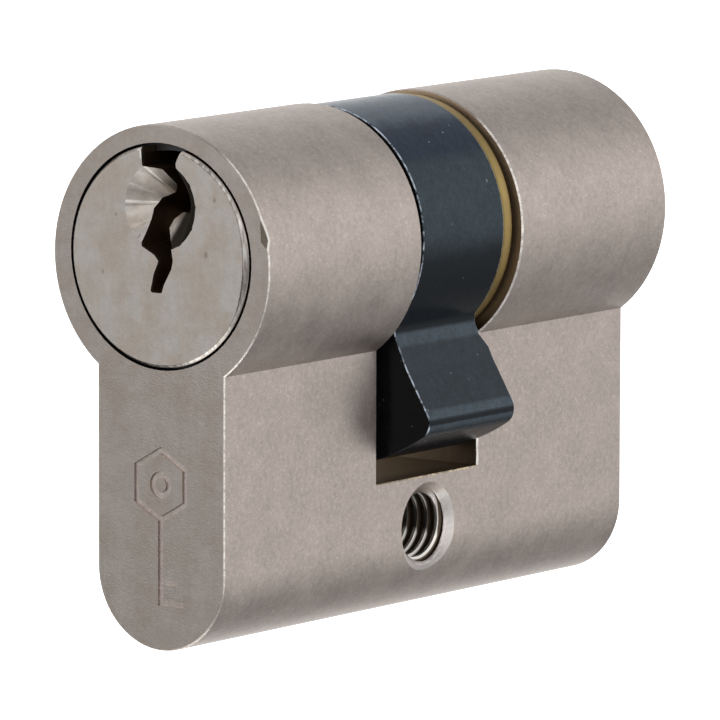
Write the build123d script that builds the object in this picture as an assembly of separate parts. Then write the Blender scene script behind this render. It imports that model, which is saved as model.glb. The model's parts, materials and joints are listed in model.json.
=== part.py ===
from build123d import *
import os
from math import cos, radians

# A double euro profile cylinder: a barrel over a flat flag, a keyed plug in each end,
# and a cam between them. Millimetres. The origin is on the axis of the fixing screw
# hole, in the middle of the flag. +X runs along that hole, +Y from the front key face
# to the rear one, and +Z from the flag up to the barrel.

# ---- housing ----
LENGTH = 42.5               # over the housing's two key faces
BARREL_R = 8.5
BARREL_Z = 18.75            # centre of the barrel's round
FLAG_WIDTH = 10.0
FLAG_ROUND_R = 5.0
FLAG_ROUND_Z = -0.75        # centre of the flag's round lower edge
END_CHAMFER = 0.10          # around each key face
SLOT_FRONT_Y = -5.47        # side walls of the cam slot
SLOT_REAR_Y = 5.3
SLOT_FLOOR_Z = 3.33
SLOT_CHAMFER = 0.10
SCREW_R = 2.5               # M5, major diameter
SINK_R = 2.85               # countersink mouth
RUN_GAP = 0.03              # radial clearance of a turning plug

# A knock on the front face's edge: two shallow facets that meet in a valley. It starts
# on the front face, at this X and height over the barrel's centre.
DENT_VALLEY = (7.84, 1.74)
DENT_SIDE = (0.622, -0.782, 0.035)      # the ways the facets face
DENT_FOOT = (0.45, -0.76, 0.47)

# ---- plugs ----
PLUG_Z = 19.0               # the plugs and the cam turn about this height
PLUG_R = 6.5
PLUG_PROUD = 0.2            # how far a plug's face stands out of the housing
PLUG_FACE_R = 6.745
HEAD_R = 6.93               # level with the housing's face
HEAD_SEAT_R = 7.11
HEAD_LENGTH = 1.2           # from the housing's face inwards
HEAD_SEAT_DEPTH = 1.26
CRESCENT_R = 9.0            # the wide cut on one side of a plug's rim: a larger circle
CRESCENT_SHIFT = 2.45       # whose centre lies this far to the other side
FUNNEL_R = 2.75             # conical key lead-in
FLUTE_R = 2.8               # the cutter's twelve chatter marks in it
FLUTES = 12
FLUTE_TURN = 3.5
FUNNEL_X = 0.12
FUNNEL_Z = BARREL_Z + 3.4
FACE_Y = LENGTH / 2

# ---- cam and what lies beside it ----
CAM_FRONT_Y = -4.75
CAM_REAR_Y = 3.83
NOSE_REAR_Y = 4.38          # below its neck the nose is longer than the ring
NOSE_NECK_R = 9.4           # where it starts to widen, and where it has done so
NOSE_WIDE_R = 10.3
CAM_R = 8.1
CAM_BORE_GAP = 0.05
WEB_FRONT_Y = -1.5          # the web inside the cam that the clutches engage
WEB_REAR_Y = 0.9
WEB_BORE_R = 4.4
NOSE_TILT = 22.5            # degrees from straight down, towards +X
NOSE_TIP_R = 14.9
NOSE_ROOT_HALF = 3.0       # half widths of the nose, from its root inside the ring
NOSE_MID_HALF = 3.1        # to its tip, and how far down from the axis they are
NOSE_TIP_HALF = 3.74
NOSE_ROOT_DEPTH = 6.0
NOSE_MID_DEPTH = 10.2
NOSE_ROOT_FILLET = 0.8
NOSE_MID_FILLET = 4.0
NOSE_TIP_FILLET = 1.1
CAM_EDGE = 0.09
RING_R = 8.0
RING_FRONT_Y = 3.9
RING_REAR_Y = 4.86

# ---- circlips ----
CLIP_INNER_R = 5.95
CLIP_OUTER_R = 7.15
GROOVE_R = 5.9
CLIP_THICK = 0.34
CLIP_GAP = 0.04             # between a clip and the slot's wall
GROOVE_GAP = 0.02
CLIP_MOUTH = 5.0            # width of the opening in the clip

# ---- clutches ----
CLUTCH_TRAVEL = 1.3
CLUTCH_WING = 2.4           # thickness along the cylinder
CLUTCH_REACH = 6.0
CLUTCH_HALF = 1.6           # half the height of the wings
CLUTCH_HUB_R = 1.6
CLUTCH_SLOT_GAP = 0.06
FRONT_CLUTCH_Y = -2.9       # outer faces, at rest
REAR_CLUTCH_Y = 3.6
CLUTCH_MEET_Y = 0.35        # where the two hubs meet
CLUTCH_BORE_R = 1.15
CLUTCH_BORE_DEPTH = 1.5
FRONT_PLUG_END = -1.6
REAR_PLUG_END = 1.0
FRONT_SLOT_FLOOR = -4.32
REAR_SLOT_FLOOR = 3.7

# ---- pin stacks ----
PIN_COUNT = 4
FIRST_PIN = 4.2             # from the key face to the first pin
PIN_PITCH = 3.2
CHAMBER_R = 1.4
PLUG_HOLE_R = 1.32
KEY_PIN_R = 1.275
DRIVER_R = 1.3
PLUG_HOLE_TOP = 21.4
KEY_PIN_FOOT = 12.56
DRIVER_TOP = 12.44
DRIVER_LENGTH = 4.6
CHAMBER_FLOOR = -3.6
CAP_R = 1.5
FRONT_KEY_PINS = (7.2, 5.7, 6.6, 5.3)
REAR_KEY_PINS = (6.3, 5.5, 7.0, 5.9)
KEY_TIP_CHAMFER = 0.75
KEY_FOOT_CHAMFER = 0.42
DRIVER_CHAMFER = 0.2
SPRING_R = 1.02             # to the middle of the wire
SPRING_WIRE_R = 0.14
SPRING_TURNS = 9

# The keyway's outline, from the middle of the barrel's round: each side from the top
# of the plug down to the foot. Two ribs, one from each side, guide the key.
KEYWAY_LEFT = [
    (-1.45, 7.4), (-1.3, 5.85), (-0.1, 5.7), (0.33, 4.7), (-0.15, 4.15), (-0.97, 3.75),
    (-1.35, 3.1), (-1.35, 0.85), (-0.35, 0.36), (-0.02, 0.0), (-0.4, -0.85), (-0.67, -2.0),
]
KEYWAY_RIGHT = [
    (1.95, 7.4), (1.33, 6.2), (1.42, 5.6), (1.42, 2.9), (0.2, 2.87), (-0.14, 2.45),
    (-0.14, 1.95), (0.35, 1.4), (0.99, 0.87), (1.12, 0.1), (1.0, -0.45), (0.45, -1.4),
    (0.23, -2.0),
]
KEYWAY_ROUND = 0.15

# ---- stamp on the front of the flag: a plain key ----
STAMP_DEPTH = 0.14
STAMP_LINE = 0.42
STAMP_BOW_R = 2.4
STAMP_BOW_Z = 4.7
STAMP_EYE_R = 0.85
STAMP_FOOT_Z = -2.9


# ---- small helpers ----
def rod_y(radius, y0, y1, x=0.0, z=0.0):
    """A cylinder along Y."""
    return Pos(x, (y0 + y1) / 2, z) * Rot(90, 0, 0) * Cylinder(radius, y1 - y0)


def rod_z(radius, z0, z1, x=0.0, y=0.0):
    """A cylinder along Z."""
    return Pos(x, y, (z0 + z1) / 2) * Cylinder(radius, z1 - z0)


def slab(x0, x1, y0, y1, z0, z1):
    """A block between two corners."""
    middle = Pos((x0 + x1) / 2, (y0 + y1) / 2, (z0 + z1) / 2)
    return middle * Box(x1 - x0, y1 - y0, z1 - z0)


def along_y(sketch, y0, y1):
    """A sketch drawn in X and Z, extruded from y0 to y1."""
    face = Plane(origin=(0, y1, 0), x_dir=(1, 0, 0), z_dir=(0, -1, 0))
    return extrude(face * sketch, y1 - y0)


def half_turn(shape):
    """The same shape at the other end of the cylinder."""
    return Rot(0, 0, 180) * shape


def pin_places():
    """Distance of each pin from the middle plane, first pin first."""
    return [FACE_Y - FIRST_PIN - i * PIN_PITCH for i in range(PIN_COUNT)]


# ---- housing ----
def profile():
    """The euro profile: the barrel's round, the flag and the flag's round edge."""
    flag_height = BARREL_Z - FLAG_ROUND_Z
    flag = Pos(0, FLAG_ROUND_Z + flag_height / 2) * Rectangle(FLAG_WIDTH, flag_height)
    barrel = Pos(0, BARREL_Z) * Circle(BARREL_R)
    return barrel + flag + Pos(0, FLAG_ROUND_Z) * Circle(FLAG_ROUND_R)


def stamp():
    """A key seen from the side: six-sided bow with an eye, blade and two teeth."""
    bow = RegularPolygon(STAMP_BOW_R, 6, rotation=30)
    bow -= RegularPolygon(STAMP_BOW_R - STAMP_LINE, 6, rotation=30)
    bow += Circle(STAMP_EYE_R) - Circle(STAMP_EYE_R - STAMP_LINE)
    key = Pos(0, STAMP_BOW_Z) * bow
    blade_top = STAMP_BOW_Z - STAMP_BOW_R + STAMP_LINE / 2
    middle = (blade_top + STAMP_FOOT_Z) / 2
    key += Pos(0, middle) * Rectangle(STAMP_LINE, blade_top - STAMP_FOOT_Z)
    for height, reach in ((STAMP_FOOT_Z, 1.8), (STAMP_FOOT_Z + 1.3, 1.3)):
        key += Pos(reach / 2, height + STAMP_LINE / 2) * Rectangle(reach, STAMP_LINE)
    return along_y(key, -FACE_Y - 1, -FACE_Y + STAMP_DEPTH)


def pin_chambers(side):
    """The four drilled chambers of one end, with the wider seats of their caps."""
    cut = []
    for place in pin_places():
        cut.append(rod_z(CHAMBER_R, CHAMBER_FLOOR - 1, PLUG_Z - PLUG_R + 1, y=side * place))
        cut.append(rod_z(CAP_R, FLAG_ROUND_Z - FLAG_ROUND_R - 1, CHAMBER_FLOOR, y=side * place))
    return cut


def countersink():
    """The 45 degree mouth of the screw hole, cut into the flag's face at the top of +Z."""
    depth = SINK_R - SCREW_R
    beyond = 0.5
    cone = Cone(SCREW_R, SINK_R + beyond, depth + beyond)
    return Pos(0, 0, FLAG_WIDTH / 2 + (beyond - depth) / 2) * cone


def slot_edges(block):
    """The outer edges of the cam slot's two side faces."""
    chosen = []
    for edge in block.edges():
        middle = edge @ 0.5
        on_wall = min(abs(middle.Y - SLOT_FRONT_Y), abs(middle.Y - SLOT_REAR_Y)) < 0.01
        across = edge.bounding_box().size.Y < 0.01
        outside = abs(abs(middle.X) - FLAG_WIDTH / 2) < 0.01 and middle.Z < BARREL_Z
        from_axis = (middle.X**2 + (middle.Z - BARREL_Z) ** 2) ** 0.5
        if on_wall and across and (outside or abs(from_axis - BARREL_R) < 0.01):
            chosen.append(edge)
    return chosen


def dent():
    """What a knock has taken off the front face's edge: the space in front of two planes."""
    valley = Vector(DENT_VALLEY[0], -FACE_Y, BARREL_Z + DENT_VALLEY[1])
    size = 4.0
    spaces = []
    for facing in (DENT_SIDE, DENT_FOOT):
        plane = Plane(origin=valley, z_dir=facing)
        spaces.append(plane.location * Pos(0, 0, size / 2) * Box(size, size, size))
    return spaces[0] & spaces[1]


def housing():
    block = along_y(profile(), -FACE_Y, FACE_Y)
    ends = block.faces().sort_by(Axis.Y)
    block = chamfer(ends[0].edges() + ends[-1].edges(), END_CHAMFER)
    block -= slab(-20, 20, SLOT_FRONT_Y, SLOT_REAR_Y, SLOT_FLOOR_Z, 40)
    block = chamfer(slot_edges(block), SLOT_CHAMFER)
    block -= rod_y(PLUG_R + RUN_GAP, -FACE_Y - 1, FACE_Y + 1, z=PLUG_Z)
    for side in (-1, 1):
        seat = rod_y(HEAD_SEAT_R, FACE_Y - HEAD_SEAT_DEPTH, FACE_Y + 1, z=PLUG_Z)
        block -= seat if side > 0 else half_turn(seat)
        for cut in pin_chambers(side):
            block -= cut
    block -= Rot(0, 90, 0) * Cylinder(SCREW_R, FLAG_WIDTH + 2)
    for side in (-1, 1):
        block -= Rot(0, side * 90, 0) * countersink()
    return block - stamp() - dent()


def chamber_caps(side):
    """Four brass caps, their lower ends flush with the flag's round edge."""
    envelope = rod_y(FLAG_ROUND_R, -FACE_Y, FACE_Y, z=FLAG_ROUND_Z)
    bottom = FLAG_ROUND_Z - FLAG_ROUND_R - 1
    caps = [
        rod_z(CAP_R, bottom, CHAMBER_FLOOR, y=side * place) & envelope
        for place in pin_places()
    ]
    return Compound(children=caps)


# ---- plugs ----
def keyway():
    """The wavy slot that the key slides in, the whole length of a plug."""
    outline = KEYWAY_LEFT + KEYWAY_RIGHT[::-1]
    points = [(x, z + BARREL_Z) for x, z in outline]
    section = make_face(Polyline(*points, close=True))
    return fillet(section.vertices(), KEYWAY_ROUND)


def funnel():
    """The 45 degree lead-in of the keyway with its chatter marks, as cut into a front plug."""
    beyond = 0.5
    mid_side = cos(radians(180 / FLUTES))
    corner_r = FLUTE_R + beyond / mid_side
    start = Plane(
        origin=(FUNNEL_X, -FACE_Y - PLUG_PROUD - beyond, FUNNEL_Z),
        x_dir=(1, 0, 0),
        z_dir=(0, 1, 0),
    )
    marks = start * RegularPolygon(corner_r, FLUTES, rotation=-FLUTE_TURN)
    marks = extrude(marks, corner_r * mid_side - 0.1, taper=45)
    cone_r = FUNNEL_R + beyond
    cone = Pos(0, 0, cone_r / 2) * Cone(cone_r, 0, cone_r)
    return marks + start.location * cone


def plug(inner_end, slot_floor, wall):
    """A plug as at the front end: its key face is at -Y, its clip lies at the slot's wall."""
    face = -FACE_Y - PLUG_PROUD
    body = rod_y(PLUG_R, -FACE_Y + HEAD_LENGTH / 2, inner_end, z=PLUG_Z)
    head = rod_y(HEAD_R, -FACE_Y, -FACE_Y + HEAD_LENGTH, z=PLUG_Z)
    head += Pos(0, (face - FACE_Y) / 2, PLUG_Z) * Rot(90, 0, 0) * Cone(HEAD_R, PLUG_FACE_R, PLUG_PROUD)
    slope = (CRESCENT_R - CRESCENT_SHIFT - HEAD_R) / PLUG_PROUD
    reach = 2.0
    crescent = Rot(90, 0, 0) * Cone(CRESCENT_R - slope * reach, CRESCENT_R, reach)
    body += head & (Pos(-CRESCENT_SHIFT, face + reach / 2, PLUG_Z) * crescent)
    clip_y = wall + CLIP_GAP
    groove = rod_y(PLUG_R + 1, clip_y - GROOVE_GAP, clip_y + CLIP_THICK + GROOVE_GAP, z=PLUG_Z)
    groove -= rod_y(GROOVE_R, clip_y - 1, clip_y + 1, z=PLUG_Z)
    body -= groove
    body -= along_y(keyway(), -FACE_Y - 1, inner_end + 1)
    body -= funnel()
    half = CLUTCH_HALF + CLUTCH_SLOT_GAP
    body -= slab(-10, 10, slot_floor, inner_end + 1, PLUG_Z - half, PLUG_Z + half)
    for place in pin_places():
        body -= rod_z(PLUG_HOLE_R, PLUG_Z - PLUG_R - 1, PLUG_HOLE_TOP, y=-place)
    return body


# ---- cam ----
def cam_sketch():
    """The outline of ring and nose together, with round corners."""
    tip_depth = NOSE_TIP_R * cos(NOSE_TIP_HALF / NOSE_TIP_R)
    right = [
        (NOSE_ROOT_HALF, -NOSE_ROOT_DEPTH),
        (NOSE_MID_HALF, -NOSE_MID_DEPTH),
        (NOSE_TIP_HALF, -tip_depth),
    ]
    left = [(-x, z) for x, z in right[::-1]]
    tip = ThreePointArc(right[-1], (0, -NOSE_TIP_R), left[0])
    outline = Curve() + [Polyline(*right), tip, Polyline(*left), Line(left[-1], right[0])]
    nose = make_face(outline)
    for depth, radius in ((tip_depth, NOSE_TIP_FILLET), (NOSE_MID_DEPTH, NOSE_MID_FILLET)):
        nose = fillet([v for v in nose.vertices() if abs(v.Y + depth) < 0.01], radius)
    section = Circle(CAM_R) + nose
    roots = [v for v in section.vertices() if abs((v.X**2 + v.Y**2) ** 0.5 - CAM_R) < 0.01]
    section = fillet([v for v in roots if v.Y < 0], NOSE_ROOT_FILLET)
    return Pos(0, PLUG_Z) * Rot(0, 0, NOSE_TILT) * section


def cam():
    outline = cam_sketch()
    body = along_y(outline, CAM_FRONT_Y, CAM_REAR_Y)
    step = NOSE_REAR_Y - CAM_REAR_Y
    neck = Rot(-90, 0, 0) * Cone(NOSE_NECK_R, NOSE_WIDE_R, step)
    body += along_y(outline, CAM_REAR_Y, NOSE_REAR_Y) - Pos(0, CAM_REAR_Y + step / 2, PLUG_Z) * neck
    ends = body.faces().sort_by(Axis.Y)
    body = fillet(ends[0].edges() + ends[-1].edges(), CAM_EDGE)
    ring_back = [edge for edge in body.edges() if abs((edge @ 0.5).Y - CAM_REAR_Y) < 0.01]
    rim = sorted(ring_back, key=lambda edge: edge.length)[-1]
    body = fillet([rim], CAM_EDGE)
    bore_r = PLUG_R + CAM_BORE_GAP
    body -= rod_y(bore_r, CAM_FRONT_Y - 1, WEB_FRONT_Y, z=PLUG_Z)
    body -= rod_y(bore_r, WEB_REAR_Y, CAM_REAR_Y + 1, z=PLUG_Z)
    body -= rod_y(WEB_BORE_R, CAM_FRONT_Y, CAM_REAR_Y, z=PLUG_Z)
    half = CLUTCH_HALF + CLUTCH_SLOT_GAP
    notch = slab(-10, 10, WEB_FRONT_Y - 0.5, WEB_REAR_Y + 0.5, PLUG_Z - half, PLUG_Z + half)
    return body - (notch & rod_y(bore_r, CAM_FRONT_Y, CAM_REAR_Y, z=PLUG_Z))


def spacer_ring():
    """A flat brass ring that runs on the rear plug."""
    ring = rod_y(RING_R, RING_FRONT_Y, RING_REAR_Y, z=PLUG_Z)
    ring = chamfer(ring.edges(), 0.06)
    return ring - rod_y(PLUG_R + CAM_BORE_GAP, RING_FRONT_Y - 1, RING_REAR_Y + 1, z=PLUG_Z)


def circlip(wall):
    """An open spring steel ring in a front plug's groove, at the slot's wall."""
    near = wall + CLIP_GAP
    ring = rod_y(CLIP_OUTER_R, near, near + CLIP_THICK, z=PLUG_Z)
    ring -= rod_y(CLIP_INNER_R, near - 1, near + 1, z=PLUG_Z)
    return ring - slab(-CLIP_MOUTH / 2, CLIP_MOUTH / 2, -10, 0, PLUG_Z, PLUG_Z + 10)


# ---- clutches ----
def clutch(outer, inner):
    """A bar with a hub. The bar's outer face is at outer, the hub ends at inner."""
    way = 1 if inner > outer else -1
    bar_y = sorted((outer, outer + way * CLUTCH_WING))
    bar = slab(-10, 10, bar_y[0], bar_y[1], PLUG_Z - CLUTCH_HALF, PLUG_Z + CLUTCH_HALF)
    bar = bar & rod_y(CLUTCH_REACH, bar_y[0], bar_y[1], z=PLUG_Z)
    bar += rod_y(CLUTCH_HUB_R, min(outer, inner), max(outer, inner), z=PLUG_Z)
    bore_y = sorted((inner + way, inner - way * CLUTCH_BORE_DEPTH))
    return bar - rod_y(CLUTCH_BORE_R, bore_y[0], bore_y[1], z=PLUG_Z)


def coil(radius, wire_r, length, turns):
    """A compression spring standing on the origin, along +Z."""
    height = length - 2 * wire_r
    path = Helix(height / turns, height, radius)
    ring = Plane(origin=path @ 0, z_dir=path % 0) * Circle(wire_r)
    return Pos(0, 0, wire_r) * sweep(ring, path=path, is_frenet=True)


def clutch_spring():
    length = 2 * CLUTCH_BORE_DEPTH - 0.06
    spring = coil(0.85, 0.15, length, 5)
    return Pos(0, CLUTCH_MEET_Y + length / 2, PLUG_Z) * Rot(90, 0, 0) * spring


# ---- pin stacks ----
def key_pin(length, y):
    pin = rod_z(KEY_PIN_R, KEY_PIN_FOOT, KEY_PIN_FOOT + length, y=y)
    pin = chamfer(pin.faces().sort_by(Axis.Z)[-1].edges(), KEY_TIP_CHAMFER)
    return chamfer(pin.faces().sort_by(Axis.Z)[0].edges(), KEY_FOOT_CHAMFER)


def driver_pin(y):
    pin = rod_z(DRIVER_R, DRIVER_TOP - DRIVER_LENGTH, DRIVER_TOP, y=y)
    flats = pin.faces().sort_by(Axis.Z)
    return chamfer(flats[0].edges() + flats[-1].edges(), DRIVER_CHAMFER)


def pin_spring(y):
    length = DRIVER_TOP - DRIVER_LENGTH - CHAMBER_FLOOR
    return Pos(0, y, CHAMBER_FLOOR) * coil(SPRING_R, SPRING_WIRE_R, length, SPRING_TURNS)


def build():
    """Every piece, by name."""
    pieces = {
        "housing": housing(),
        "front_plug": plug(FRONT_PLUG_END, FRONT_SLOT_FLOOR, SLOT_FRONT_Y),
        "rear_plug": half_turn(plug(-REAR_PLUG_END, -REAR_SLOT_FLOOR, -SLOT_REAR_Y)),
        "cam": cam(),
        "spacer_ring": spacer_ring(),
        "front_circlip": circlip(SLOT_FRONT_Y),
        "rear_circlip": half_turn(circlip(-SLOT_REAR_Y)),
        "front_clutch": clutch(FRONT_CLUTCH_Y, CLUTCH_MEET_Y - 0.02),
        "rear_clutch": clutch(REAR_CLUTCH_Y, CLUTCH_MEET_Y + 0.02),
        "clutch_spring": clutch_spring(),
    }
    for end, side, lengths in (("front", -1, FRONT_KEY_PINS), ("rear", 1, REAR_KEY_PINS)):
        pieces[end + "_chamber_caps"] = chamber_caps(side)
        for number, (place, length) in enumerate(zip(pin_places(), lengths), 1):
            y = side * place
            pieces[f"{end}_key_pin_{number}"] = key_pin(length, y)
            pieces[f"{end}_driver_pin_{number}"] = driver_pin(y)
            pieces[f"{end}_pin_spring_{number}"] = pin_spring(y)
    return pieces


os.makedirs("parts", exist_ok=True)
for name, piece in build().items():
    piece.label = name
    export_step(piece, f"parts/{name}.step")
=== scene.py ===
import bmesh
import bpy
import json
from math import cos, pi, radians, sin
from mathutils import Matrix, Vector

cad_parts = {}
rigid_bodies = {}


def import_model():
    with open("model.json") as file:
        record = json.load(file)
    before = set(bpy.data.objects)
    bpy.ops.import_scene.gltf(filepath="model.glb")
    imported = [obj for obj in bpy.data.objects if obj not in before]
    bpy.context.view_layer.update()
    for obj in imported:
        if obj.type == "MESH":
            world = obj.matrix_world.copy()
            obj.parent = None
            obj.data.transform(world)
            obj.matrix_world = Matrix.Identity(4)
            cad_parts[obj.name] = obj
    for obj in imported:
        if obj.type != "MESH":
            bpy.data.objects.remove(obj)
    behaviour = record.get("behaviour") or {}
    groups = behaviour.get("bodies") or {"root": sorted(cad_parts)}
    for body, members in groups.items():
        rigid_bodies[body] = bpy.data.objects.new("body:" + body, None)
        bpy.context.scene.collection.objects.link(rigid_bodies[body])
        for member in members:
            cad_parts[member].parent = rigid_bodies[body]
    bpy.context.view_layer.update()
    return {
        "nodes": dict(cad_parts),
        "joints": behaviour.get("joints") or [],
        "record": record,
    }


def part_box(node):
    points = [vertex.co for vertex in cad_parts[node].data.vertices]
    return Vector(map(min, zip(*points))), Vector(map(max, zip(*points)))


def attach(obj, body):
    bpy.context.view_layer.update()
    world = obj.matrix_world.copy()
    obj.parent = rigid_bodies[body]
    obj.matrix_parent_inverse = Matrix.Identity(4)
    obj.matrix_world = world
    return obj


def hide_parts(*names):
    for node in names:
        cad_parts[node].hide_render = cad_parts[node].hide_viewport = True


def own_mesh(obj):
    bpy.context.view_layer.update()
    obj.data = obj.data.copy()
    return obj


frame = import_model()
NODES = frame["nodes"]
MM = 0.001

# ---- where things are, in mm, from the frame ----
JOINTS = {joint["name"]: joint for joint in frame["joints"]}
PLUG_Z = JOINTS["front_plug_turn"]["pos_m"][2] / MM
low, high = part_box("housing")
BARREL_R = high.x / MM
BARREL_Z = high.z / MM - BARREL_R
FACE_Y = high.y / MM                # the housing's key faces
PLUG_FACE_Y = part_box("rear_plug")[1].y / MM

# ---- the fixing hole's thread: M5 x 0.8 ----
THREAD_MAJOR_R = 2.5
THREAD_MINOR_R = 2.08
THREAD_FLOOR_R = 2.34               # of the groove: shallower than M5's, to look like the photo
THREAD_HIDDEN_R = 2.56              # inside the metal, where the thread has ended
THREAD_PITCH = 0.8
THREAD_CREST_HALF = 0.1             # along X
THREAD_FLANK = 0.15
THREAD_END_X = 4.66                 # just past the countersinks' narrow ends
THREAD_TURN = 0.43                  # where the helix starts, in turns
THREAD_STEPS = 72                   # per turn
THREAD_ACROSS = 16                  # per pitch
THREAD_FLAT = 0.001                 # a face narrower than this is left out

# ---- places that the materials tell apart, lengths in mm ----
SEAT_R = 7.17                       # just outside the widest bore in the housing
SLOT_FRONT_Y, SLOT_REAR_Y = -5.48, 5.31     # just inside the metal of the cam slot's walls
SLOT_FLOOR_Z = 3.34
SINK_R = 2.85                       # mouth of the screw hole's countersink
FLAG_X = 5.0
RIM_R = 6.4                         # the plugs' sloping rims lie outside this
KNOCK_X = 7.5
BRIGHT_EDGE_X = 5.2                        # the slot's edges are bright further out than this, with wear and painted highlight
CHAMFER_FACING = 0.73               # chamfers face along Y less than this, the knock more
BESIDE_WIDTH = 0.9                  # of a strip of painted light on the flag beside the slot
BESIDE_Z = (6.3, 11.0)
BESIDE_GAIN = 0.35
RING_Y = 4.38                       # middle of the brass ring's width
RING_WALL_Z = 12.5                  # the slot's walls are painted lighter above this, as painted light
NOSE_TILT = radians(22.5)           # of the cam's nose from straight down
NOSE_ROOT = 7.9                     # from here on, distances down the nose from the turning axis
NOSE_TIP = 14.5                     # where its dark end, a painted reflection, starts
NOSE_LINE = (13.84, 14.12)          # a dark line of painted reflection round the tip's corner
NOSE_BANDS = (                      # pale bands of painted reflection: from, to, the softness of each, strength
    (NOSE_ROOT, 8.75, 0.15, 0.2, 1.0),
    (13.15, 13.75, 0.15, 0.06, 1.0),
    (14.15, 14.38, 0.06, 0.12, 0.6),
)
NAVY_Z = 20.5                       # painted reflections: zones of tone painted on the cam's ring, at rest
SIDE_Z = (18.4, 23.8)
TOP_Z = 26.0
FUNNEL_X, FUNNEL_Z = 0.12, BARREL_Z + 3.4
FUNNEL_CREASES = (116.5, 176.5)     # degrees, of two lines of painted highlight
FUNNEL_DARK_X = 1.6                 # from the funnel's middle, where its painted shade deepens
BURR_X, BURR_Z = -1.43, 25.35
BURR_SLOPE = -0.1                   # it leans out towards the top
PLUG_MARKS = (                      # x, z and radius of small stains on the front plug
    (3.71, 19.43, 0.12), (4.38, 22.86, 0.09), (-3.37, 21.44, 0.07), (-1.62, 20.19, 0.07),
    (-4.41, 17.76, 0.08),
)

# ---- camera, fitted to the photo's outline ----
AZIMUTH = radians(36.836)
ELEVATION = radians(6.917)
ROLL = radians(0.159)
DISTANCE = 583.339 * MM
FOCAL = 12.6905                     # in image widths
AIM = Vector((0.31, -1.03, 10.41)) * MM

# ---- studio: soft lobes of light all round the object ----
FLOOR_Z = -0.15
FLOOR_HALF = 6.0
LOBE_SHARPNESS = 9.0
LOBES = (                           # azimuth, elevation and strength, fitted to the photo's tones
    (0, -90, 2.456), (36, -50, 0.099), (252, -50, 0.132), (100, -15, 0.966),
    (140, -15, 0.479), (220, -15, 1.750), (100, 20, 0.991), (140, 20, 0.866),
    (180, 20, 0.456), (220, 20, 0.167), (340, 20, 2.762), (252, 55, 2.467),
    (53, 2, 1.2), (33, 48, 0.7),
)


# ---- shader graphs written as sums ----
class Num:
    """A number in a shader graph."""

    def __init__(self, graph, socket):
        self.graph, self.socket = graph, socket

    def math(self, operation, *others):
        return self.graph.math(operation, self, *others)

    def __add__(self, other):
        return self.math("ADD", other)

    def __sub__(self, other):
        return self.math("SUBTRACT", other)

    def __mul__(self, other):
        return self.math("MULTIPLY", other)

    def __abs__(self):
        return self.math("ABSOLUTE")

    def over(self, edge, soft=0.02):
        """1 above edge, 0 below it."""
        return self.graph.ramp(self, edge - soft, edge + soft)

    def under(self, edge, soft=0.02):
        """1 below edge, 0 above it."""
        return self.graph.ramp(self, edge + soft, edge - soft)

    def between(self, low, high, soft_low=0.02, soft_high=None):
        """1 from low to high, 0 outside."""
        if soft_high is None:
            soft_high = soft_low
        return self.over(low, soft_low) * self.under(high, soft_high)


class Graph:
    """A material's or the world's node tree."""

    def __init__(self, tree):
        self.tree = tree

    def node(self, kind, **settings):
        node = self.tree.nodes.new("ShaderNode" + kind)
        for name, value in settings.items():
            setattr(node, name, value)
        return node

    def put(self, value, target):
        if isinstance(value, Num):
            value = value.socket
        if isinstance(value, bpy.types.NodeSocket):
            self.tree.links.new(value, target)
        elif isinstance(value, tuple) and len(target.default_value) == 4:
            target.default_value = (*value, 1)
        else:
            target.default_value = value

    def math(self, operation, *values):
        node = self.node("Math", operation=operation)
        for value, target in zip(values, node.inputs):
            self.put(value, target)
        return Num(self, node.outputs[0])

    def ramp(self, value, low, high):
        """A smooth step from 0 at low to 1 at high."""
        node = self.node("MapRange", interpolation_type="SMOOTHSTEP")
        for item, target in zip((value, low, high), node.inputs):
            self.put(item, target)
        return Num(self, node.outputs[0])

    def length(self, first, second):
        return self.math("SQRT", first * first + second * second)

    def mix(self, factor, first, second):
        node = self.node("Mix", data_type="RGBA")
        self.put(factor, node.inputs["Factor"])
        self.put(first, node.inputs[6])
        self.put(second, node.inputs[7])
        return node.outputs[2]

    def shade(self, color, amount):
        """A colour times a number."""
        node = self.node("VectorMath", operation="SCALE")
        self.put(color, node.inputs[0])
        self.put(amount, node.inputs["Scale"])
        return node.outputs[0]

    def split(self, vector):
        node = self.node("SeparateXYZ")
        self.put(vector, node.inputs[0])
        return [Num(self, output) for output in node.outputs]

    def place(self):
        """Position on the piece in mm."""
        scale = self.node("VectorMath", operation="SCALE")
        self.put(self.node("TexCoord").outputs["Object"], scale.inputs[0])
        scale.inputs["Scale"].default_value = 1 / MM
        return scale.outputs[0]

    def stretch(self, vector, factors):
        node = self.node("VectorMath", operation="MULTIPLY")
        self.put(vector, node.inputs[0])
        node.inputs[1].default_value = factors
        return node.outputs[0]

    def noise(self, vector, scale, detail=2.0, roughness=0.5):
        """Noise from about -1 to 1."""
        node = self.node("TexNoise")
        self.put(vector, node.inputs["Vector"])
        self.put(scale, node.inputs["Scale"])
        self.put(detail, node.inputs["Detail"])
        self.put(roughness, node.inputs["Roughness"])
        return (Num(self, node.outputs[0]) - 0.5) * 4

    def grains(self, vector, scale):
        """A random number from 0 to 1 for each small cell."""
        node = self.node("TexVoronoi")
        self.put(vector, node.inputs["Vector"])
        self.put(scale, node.inputs["Scale"])
        return self.split(node.outputs["Color"])[0]

    def bump(self, height, distance):
        """A bump whose height, from -1 to 1, is worth distance in mm."""
        node = self.node("Bump")
        self.put(height, node.inputs["Height"])
        node.inputs["Distance"].default_value = distance * MM
        return node.outputs[0]

    def facing_y(self):
        """How far the surface faces along the cylinder, 0 to 1."""
        return abs(self.split(self.node("NewGeometry").outputs["Normal"])[1])


def add_object(name, data):
    made = bpy.data.objects.new(name, data)
    bpy.context.scene.collection.objects.link(made)
    return made


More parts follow.
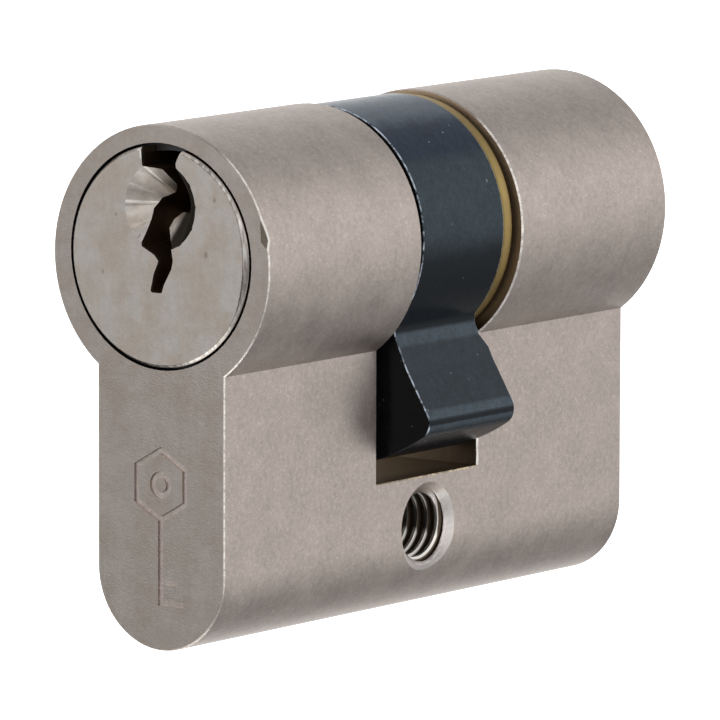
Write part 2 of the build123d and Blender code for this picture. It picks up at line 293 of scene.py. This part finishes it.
def material(name, build, metallic=1.0, **fixed):
    """A material whose colour, roughness and normal are what build(graph) returns."""
    made = bpy.data.materials.new(name)
    made.use_nodes = True
    graph = Graph(made.node_tree)
    shader = made.node_tree.nodes["Principled BSDF"]
    color, roughness, normal = build(graph)
    graph.put(color, shader.inputs["Base Color"])
    graph.put(roughness, shader.inputs["Roughness"])
    graph.put(normal, shader.inputs["Normal"])
    graph.put(metallic, shader.inputs["Metallic"])
    for socket, value in fixed.items():
        shader.inputs[socket.replace("_", " ")].default_value = value
    return made


# ---- materials: colours, then one function for each finish ----
NICKEL = (0.475, 0.415, 0.378)
FACE_WARM = (0.395, 0.345, 0.305)
FACE_COOL = (0.415, 0.375, 0.345)
PLUG_WARM = (0.475, 0.415, 0.360)
PLUG_COOL = (0.495, 0.465, 0.435)
RIM_DULL = (0.37, 0.33, 0.295)
# painted shade inside the bores
BORE_SHADE = (0.06, 0.06, 0.065)
# lighter than bare brass: painted light inside the keyway
KEYWAY_BROWN_LIT = (0.26, 0.175, 0.105)
# worn edges, and painted highlights on edges, creases, rims, crests and a burr
WORN_AND_HIGHLIGHT = (0.92, 0.88, 0.83)
# the countersink's bare metal, painted brighter as light where it shows
SINK_WORN_AND_LIT = (0.70, 0.655, 0.625)
BRASS_WORN = (0.72, 0.60, 0.42)
BRASS = (0.34, 0.245, 0.095)
DARK_STEEL = (0.22, 0.21, 0.20)
LIGHT_STEEL = (0.50, 0.49, 0.47)
BARE_BRASS = (0.16, 0.12, 0.082)
# painted shade on the funnel's far side
FUNNEL_SHADE = (0.042, 0.034, 0.026)
# stains and pits, and painted shade in the screw hole and the thread's grooves
GRIME_AND_SHADE = (0.085, 0.064, 0.045)
BLUED = (0.004, 0.006, 0.009)
BLUED_NAVY = (0.015, 0.025, 0.042)
BLUED_TOP = (0.058, 0.078, 0.102)
BLUED_NOSE = (0.025, 0.034, 0.042)
BLUED_BAND = (0.058, 0.077, 0.096)
BLUED_FLAT = (0.006, 0.006, 0.006)
BLUED_PALE = (0.031, 0.045, 0.055)
BLUED_WORN = (0.55, 0.62, 0.72)


def satin(graph, at, color):
    """Satin nickel: colour, roughness and bump height of its grain."""
    fine = graph.noise(at, 9.0, 3.0, 0.6)
    mottle = graph.noise(at, 2.6, 2.0, 0.5)
    blotch = graph.noise(at, 0.45, 3.0, 0.55)
    grain = graph.grains(at, 11.0)
    # painted glints: the brightest grains are painted brighter still
    grain_glint = grain.over(0.94, 0.04) * 0.16
    tone = fine * 0.05 + mottle * 0.095 + blotch * 0.09 + grain_glint + (grain - 0.5) * 0.10 + 0.98
    roughness = blotch * 0.03 + fine * 0.04 + 0.43
    return graph.shade(color, tone), roughness, fine + grain * 1.2


def key_face(graph, at, warm, cool):
    """A lapped face: its colour, cloudy between two, its roughness and the height of its marks."""
    clouds = graph.noise(at, 0.42, 3.0, 0.6)
    mottle = graph.noise(at, 2.4, 2.0, 0.5)
    streak = graph.noise(graph.stretch(at, (1.4, 1.0, 0.2)), 2.2, 3.0, 0.6)
    fine = graph.noise(at, 8.0, 2.0, 0.6)
    color = graph.mix(graph.ramp(clouds, -0.6, 0.6), warm, cool)
    tone = clouds * 0.04 + mottle * 0.045 + streak * 0.035 + fine * 0.05 + 1.0
    return graph.shade(color, tone), clouds * 0.03 + fine * 0.02 + 0.37, fine


def sink_metal(graph, at):
    """The countersink's rough bare colour, and how much of it shows: less at the top and front, as
    painted shade.
    """
    _, y, z = graph.split(at)
    rough = graph.noise(at, 4.0, 3.0, 0.6)
    return graph.shade(SINK_WORN_AND_LIT, rough * 0.12 + 1.0), (z - y * 0.5).under(1.3, 0.5)


def nickel_plate(graph):
    at = graph.place()
    x, y, z = graph.split(at)
    depth = abs(y)
    facing = graph.facing_y()
    from_axis = graph.length(x, z - PLUG_Z)
    from_hole = graph.length(y, z)
    color, roughness, height = satin(graph, at, NICKEL)

    faces = depth.over(FACE_Y - 0.03, 0.01)
    face_color, face_roughness, _ = key_face(graph, at, FACE_WARM, FACE_COOL)
    color = graph.mix(faces, color, face_color)
    roughness = roughness + faces * (face_roughness - roughness)

    # machined surfaces inside: slot, bores and screw hole; the bores and the screw hole are painted
    # dark as shade
    slot = y.between(SLOT_FRONT_Y, SLOT_REAR_Y, 0.004) * z.over(SLOT_FLOOR_Z - 0.09, 0.05)
    bore = from_axis.under(SEAT_R, 0.01) * depth.under(FACE_Y - 0.02, 0.01)
    hole = from_hole.under(THREAD_MAJOR_R, 0.02) * abs(x).under(THREAD_END_X - 0.06, 0.01)
    sink = from_hole.under(SINK_R + 0.01, 0.01) * abs(x).under(FLAG_X - 0.01, 0.01)
    sink = sink * (hole * -1.0 + 1.0)
    cuts = graph.noise(graph.stretch(at, (1.0, 1.0, 0.1)), 9.0, 2.0, 0.6)
    # painted light: the upper slot walls are painted lighter
    walls = facing.over(0.9) * z.over(RING_WALL_Z, 0.8) * 2.0
    color = graph.mix(slot, color, graph.shade(BARE_BRASS, cuts * 0.1 + walls + 1.0))
    color = graph.mix(bore, color, BORE_SHADE)
    color = graph.mix(hole, color, GRIME_AND_SHADE)
    sink_color, sink_lit = sink_metal(graph, at)
    color = graph.mix(sink * sink_lit, color, sink_color)

    # painted light: a lighter strip beside the slot, fitted to the photo, where the cam's nose
    # shades the flag
    beside = y.between(SLOT_FRONT_Y - BESIDE_WIDTH, SLOT_FRONT_Y, BESIDE_WIDTH, 0.02)
    beside = beside * z.between(*BESIDE_Z, 1.2, 1.8) * abs(x).over(FLAG_X - 0.02, 0.01)
    color = graph.shade(color, beside * BESIDE_GAIN + 1.0)

    # bright, broken lines along the narrow chamfers: wear and painted highlight; where they are not
    # bright the chamfers are painted darker as shade
    chamfer = facing.between(0.35, CHAMFER_FACING, 0.1, 0.01) * from_hole.over(SINK_R + 0.1, 0.02)
    broken = graph.ramp(graph.noise(at, 3.2, 3.0, 0.7), -0.7, 0.5)
    outer = graph.math("MAXIMUM", abs(x).over(BRIGHT_EDGE_X, 0.8), z.under(RING_WALL_Z, 0.5))
    color = graph.shade(color, chamfer * (outer - 1.0) * 0.35 + 1.0)
    wear_and_glint = chamfer * (broken * 0.8 + 0.2) * outer
    low = z.under(-1.5, 1.0)        # where the key faces' edges show a thinner line
    wear_and_glint = wear_and_glint * (depth + low * 0.045).under(FACE_Y - 0.03, 0.03)

    # the slot floor's outer edges are brass-coloured
    lip = abs(z - SLOT_FLOOR_Z).under(0.12, 0.02) * abs(x).over(FLAG_X - 0.11, 0.01)
    lip = lip * y.between(SLOT_FRONT_Y, SLOT_REAR_Y, 0.01)
    color = graph.mix(lip * broken * (y.over(-1.5, 1.5) * 0.7 + 0.3), color, BRASS_WORN)

    # the knock on the front edge: dull facets with a bright outer edge
    from_round = graph.length(x, z - BARREL_Z)
    knock = facing.between(CHAMFER_FACING, 0.86, 0.01) * x.over(KNOCK_X, 0.1)
    color = graph.mix(knock * 0.8, color, GRIME_AND_SHADE)
    wear_and_glint = wear_and_glint + knock * from_round.over(BARREL_R - 0.11, 0.03) * 0.9

    color = graph.mix(wear_and_glint, color, WORN_AND_HIGHLIGHT)
    roughness = roughness - wear_and_glint * 0.12
    return color, roughness, graph.bump(height, 0.0022)


def plug_nickel(graph):
    at = graph.place()
    x, y, z = graph.split(at)
    depth = abs(y)
    facing = graph.facing_y()
    from_axis = graph.length(x, z - PLUG_Z)
    color, roughness, height = key_face(graph, at, PLUG_WARM, PLUG_COOL)
    pits = graph.ramp(graph.noise(at, 1.5, 1.0), 1.15, 1.35)
    color = graph.mix(pits * 0.7, color, GRIME_AND_SHADE)
    front = y.under(0.0)
    for mark_x, mark_z, size in PLUG_MARKS:
        mark = graph.length(x - mark_x, (z - mark_z) * 0.6).under(size, size * 0.6)
        color = graph.mix(mark * front * 0.4, color, GRIME_AND_SHADE)

    # painted highlight: a burr at the corner of the keyway's mouth, painted bright
    up = z - BURR_Z
    burr = abs(x - up * BURR_SLOPE - BURR_X).under(0.06, 0.03) * abs(up).under(0.27, 0.05)
    color = graph.mix(burr * front * facing.over(0.9), color, WORN_AND_HIGHLIGHT)

    # the key funnel: bright creases of painted highlight and a dark far side of painted shade
    funnel = facing.between(0.6, 0.8, 0.05, 0.03) * from_axis.under(RIM_R)
    to_x, to_z = x - FUNNEL_X, z - FUNNEL_Z
    angle = graph.math("ARCTAN2", to_z, to_x)
    reach = graph.noise(at, 2.0, 2.0)
    for crease in FUNNEL_CREASES:
        line = abs(angle - radians(crease)).under(0.035, 0.02) * (reach * 0.4 + 0.7)
        color = graph.mix(line * funnel * front, color, WORN_AND_HIGHLIGHT)
    stain = graph.ramp(graph.noise(at, 1.1, 3.0, 0.6), -0.7, 0.7)
    color = graph.mix(funnel * (stain * 0.25), graph.shade(color, funnel * 0.12 + 1.0), GRIME_AND_SHADE)
    far_shade = to_x.over(0.3, 0.3) * 0.97 * funnel
    dark = graph.shade(FUNNEL_SHADE, to_x.over(FUNNEL_DARK_X, 0.25) * -0.6 + 1.0)
    color = graph.mix(far_shade, color, dark)
    roughness = roughness + far_shade * 0.6

    # the keyway's walls, which run along the plug, are brown, painted light enough to stand in for
    # light reaching into the keyway
    walls = facing.under(0.3, 0.15) * depth.under(PLUG_FACE_Y - 0.15, 0.15)
    color = graph.mix(walls, color, KEYWAY_BROWN_LIT)

    # the sloping rim: dull, with bright streaks of painted highlight and a dark line where it
    # starts
    rim = from_axis.over(RIM_R) * facing.between(0.3, 0.97, 0.1, 0.01)
    rim_glints = graph.ramp(graph.noise(graph.stretch(at, (2.0, 1.0, 0.35)), 1.5, 3.0, 0.6), -0.5, 0.6)
    inner = depth.over(PLUG_FACE_Y - 0.14, 0.04)
    start = depth.over(PLUG_FACE_Y - 0.03, 0.01)
    rim_color = graph.mix(rim_glints * (inner * 0.75 + 0.05), RIM_DULL, WORN_AND_HIGHLIGHT)
    color = graph.mix(rim, color, graph.mix(start * 0.6, rim_color, GRIME_AND_SHADE))
    roughness = roughness - rim * 0.10
    return color, roughness, graph.bump(height, 0.0012)


def blued_steel(graph):
    at = graph.place()
    fine = graph.noise(at, 8.0, 3.0, 0.6)
    mottle = graph.noise(at, 2.2, 2.0, 0.5)
    blotch = graph.noise(at, 0.5, 3.0, 0.55)
    dust = graph.ramp(graph.noise(at, 2.6, 0.0), 1.35, 1.5)
    x, _, z = graph.split(at)
    along = x * sin(NOSE_TILT) - (z - PLUG_Z) * cos(NOSE_TILT)
    facing = graph.facing_y()
    front = facing.over(0.96, 0.03)

    # painted reflections: zones of tone fitted to the photo, which turn with the cam
    z = z + blotch * 0.15
    color = graph.mix(z.over(NAVY_Z, 1.5), BLUED, BLUED_NAVY)
    color = graph.mix(z.between(*SIDE_Z, 1.2, 0.5), color, BLUED_PALE)
    color = graph.mix(z.over(TOP_Z, 0.4), color, BLUED_TOP)
    color = graph.mix(along.over(NOSE_ROOT, 0.2), color, BLUED_NOSE)
    pale = 0.0
    for start, end, soft_start, soft_end, strength in NOSE_BANDS:
        pale = along.between(start, end, soft_start, soft_end) * strength + pale
    color = graph.mix(pale, color, BLUED_BAND)
    color = graph.mix(along.between(*NOSE_LINE, 0.07, 0.06), color, BLUED)
    color = graph.mix(along.over(NOSE_TIP, 0.15), color, BLUED)
    color = graph.mix(front, color, BLUED_FLAT)
    color = graph.shade(color, fine * 0.28 + mottle * 0.18 + blotch * 0.14 + 1.0)

    color = graph.mix(dust * 0.25, color, BLUED_WORN)
    edge = facing.between(0.18, 0.96, 0.1, 0.03) * along.under(NOSE_TIP - 0.05, 0.15)
    broken = graph.ramp(graph.noise(at, 1.6, 3.0, 0.7), -0.6, 0.4)
    color = graph.mix(edge * broken, color, BLUED_WORN)
    roughness = fine * 0.03 + mottle * 0.02 + blotch * 0.03 + 0.23
    return color, roughness, graph.bump(fine + mottle, 0.002)


def brass(graph):
    at = graph.place()
    turned = graph.noise(graph.stretch(at, (1.0, 14.0, 1.0)), 1.4, 3.0, 0.6)
    soft = graph.noise(at, 0.6, 3.0)
    y = graph.split(at)[1]
    rims = abs(y - RING_Y).over(0.3, 0.12)      # the ring's two edges are darker
    color = graph.shade(BRASS, turned * 0.16 + soft * 0.10 - rims * 0.35 + 1.05)
    return color, soft * 0.04 + 0.38, graph.bump(turned, 0.001)


def dark_steel(graph):
    at = graph.place()
    soft = graph.noise(at, 1.0, 3.0)
    return graph.shade(DARK_STEEL, soft * 0.08 + 1.0), soft * 0.04 + 0.4, graph.bump(soft, 0.001)


def light_steel(graph):
    at = graph.place()
    turned = graph.noise(graph.stretch(at, (1.0, 1.0, 10.0)), 1.4, 3.0, 0.6)
    color = graph.shade(LIGHT_STEEL, turned * 0.07 + 1.0)
    return color, turned * 0.03 + 0.34, graph.bump(turned, 0.001)


def thread_metal(graph):
    at = graph.place()
    fine = graph.noise(at, 5.0, 3.0, 0.6)
    x, y, z = graph.split(at)
    radius = graph.length(y, z)
    # painted highlight: the crests are bright at the bottom, at the top and near the mouths, and
    # the grooves are dark as painted shade
    low = z.under(-0.7, 0.3)
    crest_highlight = graph.math("MAXIMUM", low, z.over(0.9, 0.4))
    crest_highlight = graph.math("MAXIMUM", crest_highlight, abs(x).over(3.9, 0.1) * 0.8)
    crest = radius.under(crest_highlight * 0.04 + low * 0.08 + THREAD_MINOR_R + 0.03, 0.04)
    color = graph.mix(crest, GRIME_AND_SHADE, graph.shade(WORN_AND_HIGHLIGHT, crest_highlight * 0.75 + 0.12))
    cut = abs(radius - abs(x) + (FLAG_X - SINK_R)).under(0.03, 0.01)
    sink_color, sink_lit = sink_metal(graph, at)
    color = graph.mix(cut, color, graph.mix(sink_lit, NICKEL, sink_color))
    return graph.shade(color, fine * 0.1 + 1.0), fine * 0.03 + 0.38, graph.bump(fine, 0.0015)


MATERIALS = {
    "nickel_plate": material("nickel_plate_satin", nickel_plate),
    "plug_nickel": material("plug_nickel_smooth", plug_nickel),
    "blued_steel": material("blued_steel_satin", blued_steel, metallic=0.0, Specular_IOR_Level=0.13,
                            Specular_Tint=(0.78, 0.92, 1.0, 1.0)),
    "brass": material("brass_turned", brass),
    "spring_steel": material("spring_steel_oiled", dark_steel),
    "clutch_steel": material("clutch_steel_sintered", light_steel),
    "pin_brass": material("pin_brass_turned", brass),
    "driver_steel": material("driver_steel_turned", light_steel),
}
for part in frame["record"]["subparts"]:
    node = NODES[part["node"]]
    node.data.materials.clear()
    node.data.materials.append(MATERIALS[part["material_slot"]])


# ---- the pin springs, copied onto their joints' parent bodies ----
def pin_spring(joint, soft):
    """A copy of a spring's wire, fixed to the joint's parent body."""
    node = NODES[soft["node"]]
    fixed_z = soft["fixed_end_z_m"]
    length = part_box(soft["node"])[1].z - fixed_z
    shortest = length + min(joint["range_m"])
    piece = add_object(soft["node"] + "_wire", node.data.copy())
    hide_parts(soft["node"])
    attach(piece, joint["parent"])
    shortest / length
    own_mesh(piece)


for joint in frame["joints"]:
    for soft in joint.get("deforming_nodes", ()):
        pin_spring(joint, soft)


# ---- the thread ----
def thread_radius(x, from_crest):
    """Radius of the threaded wall at x, from_crest away from the middle of the ridge."""
    if abs(x) > THREAD_END_X - 0.01:
        return THREAD_HIDDEN_R
    down = min(max((abs(from_crest) - THREAD_CREST_HALF) / THREAD_FLANK, 0), 1)
    profile = THREAD_MINOR_R + (THREAD_FLOOR_R - THREAD_MINOR_R) * down
    return max(profile, abs(x) - FLAG_X + SINK_R)


def thread():
    """The screw hole's threaded wall as a helix along X, its ends cut by the countersinks."""
    mesh = bmesh.new()
    first = -THREAD_END_X - THREAD_PITCH / 2
    rings = []
    for i in range(int(-2 * first / THREAD_PITCH * THREAD_STEPS) + 1):
        angle = 2 * pi * (i / THREAD_STEPS - THREAD_TURN)
        crest_x = first + THREAD_PITCH * i / THREAD_STEPS
        ring = []
        for j in range(THREAD_ACROSS + 1):
            from_crest = THREAD_PITCH * (j / THREAD_ACROSS - 0.5)
            x = max(-THREAD_END_X, min(THREAD_END_X, crest_x + from_crest))
            r = thread_radius(x, from_crest)
            ring.append((x, cos(angle) * r, sin(angle) * r))
        rings.append(ring)
    for one, two in zip(rings, rings[1:]):
        for j in range(THREAD_ACROSS):
            corners = (one[j], one[j + 1], two[j + 1], two[j])
            if min(one[j + 1][0] - one[j][0], two[j + 1][0] - two[j][0]) > THREAD_FLAT:
                mesh.faces.new([mesh.verts.new(Vector(corner) * MM) for corner in corners])
    bmesh.ops.remove_doubles(mesh, verts=mesh.verts, dist=THREAD_FLAT / 2 * MM)
    data = bpy.data.meshes.new("thread")
    mesh.to_mesh(data)
    piece = add_object("thread", data)
    data.materials.append(material("thread_bare", thread_metal))
    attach(piece, "housing")


thread()


# ---- camera and studio ----
def look_from(target, azimuth, elevation, distance, roll):
    """Camera matrix: azimuth 0 looks along +Y, and a positive one looks from the +X side."""
    back = Vector((sin(azimuth) * cos(elevation), -cos(azimuth) * cos(elevation), sin(elevation)))
    eye = Vector((0, 0, BARREL_Z * MM)) + back * distance
    forward = (target - eye).normalized()
    right = forward.cross(Vector((0, 0, 1))).normalized()
    up = right.cross(forward)
    right, up = right * cos(roll) + up * sin(roll), up * cos(roll) - right * sin(roll)
    turn = Matrix((right, up, -forward)).transposed().to_4x4()
    return Matrix.Translation(eye) @ turn


def make_camera():
    data = bpy.data.cameras.new("camera")
    data.sensor_width = 36
    data.lens = FOCAL * data.sensor_width
    data.clip_start = 0.01
    data.clip_end = 20
    camera = add_object("camera", data)
    camera.matrix_world = look_from(AIM, AZIMUTH, ELEVATION, DISTANCE, ROLL)
    bpy.context.scene.camera = camera


def make_world():
    """Smooth lobes of light, each round a direction given by azimuth and elevation."""
    world = bpy.data.worlds.new("studio")
    bpy.context.scene.world = world
    world.use_nodes = True
    graph = Graph(world.node_tree)
    direction = graph.node("TexCoord").outputs["Generated"]
    total = 0.0
    for azimuth, elevation, strength in LOBES:
        a, e = radians(azimuth), radians(elevation)
        dot = graph.node("VectorMath", operation="DOT_PRODUCT")
        graph.put(direction, dot.inputs[0])
        dot.inputs[1].default_value = (sin(a) * cos(e), -cos(a) * cos(e), sin(e))
        lobe = graph.math("EXPONENT", (Num(graph, dot.outputs["Value"]) - 1.0) * LOBE_SHARPNESS)
        total = lobe * strength + total
    background = world.node_tree.nodes["Background"]
    background.inputs["Color"].default_value = (1, 1, 1, 1)
    graph.put(total, background.inputs["Strength"])


def make_floor():
    """A plain white floor, well below the cylinder."""
    data = bpy.data.meshes.new("floor")
    h = FLOOR_HALF
    corners = [(x, y, FLOOR_Z) for x, y in ((-h, -h), (h, -h), (h, h), (-h, h))]
    data.from_pydata(corners, [], [(0, 1, 2, 3)])
    floor = add_object("floor", data)
    white = bpy.data.materials.new("floor_white")
    white.use_nodes = True
    shader = white.node_tree.nodes["Principled BSDF"]
    shader.inputs["Base Color"].default_value = (0.8, 0.8, 0.8, 1)
    shader.inputs["Emission Color"].default_value = (1, 1, 1, 1)
    shader.inputs["Emission Strength"].default_value = 1.0
    data.materials.append(white)
    for way in ("diffuse", "glossy", "shadow", "transmission", "volume_scatter"):
        setattr(floor, "visible_" + way, False)


make_camera()
make_world()
make_floor()
bpy.context.scene.view_settings.view_transform = "Standard"
